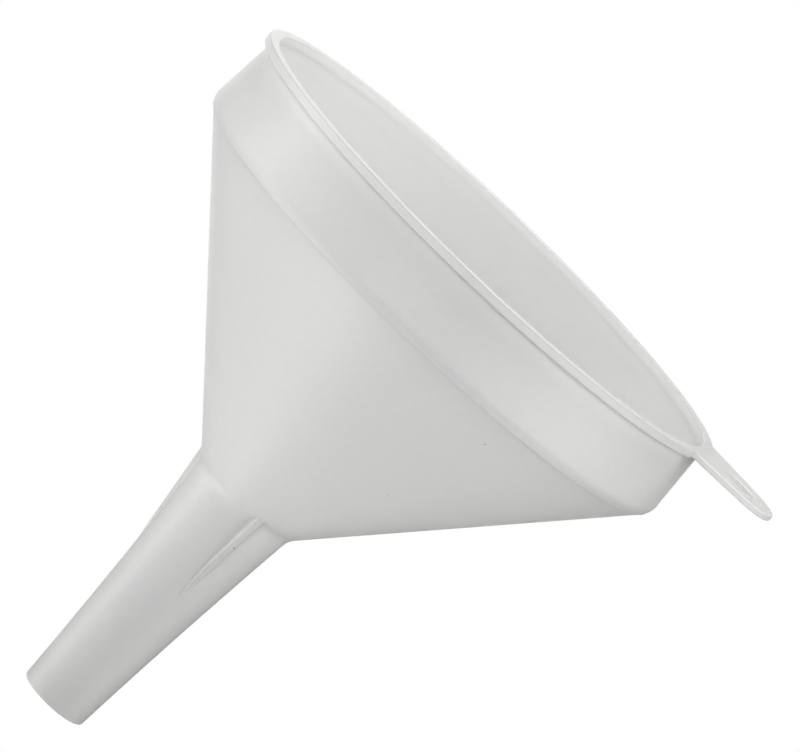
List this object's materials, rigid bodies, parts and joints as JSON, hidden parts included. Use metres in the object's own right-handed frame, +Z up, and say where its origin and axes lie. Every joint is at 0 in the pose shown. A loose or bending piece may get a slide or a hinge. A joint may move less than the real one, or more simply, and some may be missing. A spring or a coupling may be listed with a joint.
{
  "type": "canning funnel",
  "caption": "Wide-mouthed kitchen funnel with a deep collar, steep cone, narrow tapered spout with vent ribs, flat rim flange and a hanging tab.",
  "frame": {"origin": "centre of the spout's outlet, in the plane of its end", "axes": "+Z up along the funnel's axis towards the mouth, +X along the hanging tab"},
  "size_m": [0.2289, 0.2, 0.214],
  "materials": {
    "milky_plastic": "satin, translucent natural polypropylene"
  },
  "bodies": {
    "root": {"rim_flange": "milky_plastic", "hanging_tab": "milky_plastic", "collar": "milky_plastic", "cone": "milky_plastic", "spout": "milky_plastic", "vent_rib_1": "milky_plastic", "vent_rib_2": "milky_plastic", "vent_rib_3": "milky_plastic"}
  },
  "joints": []
}
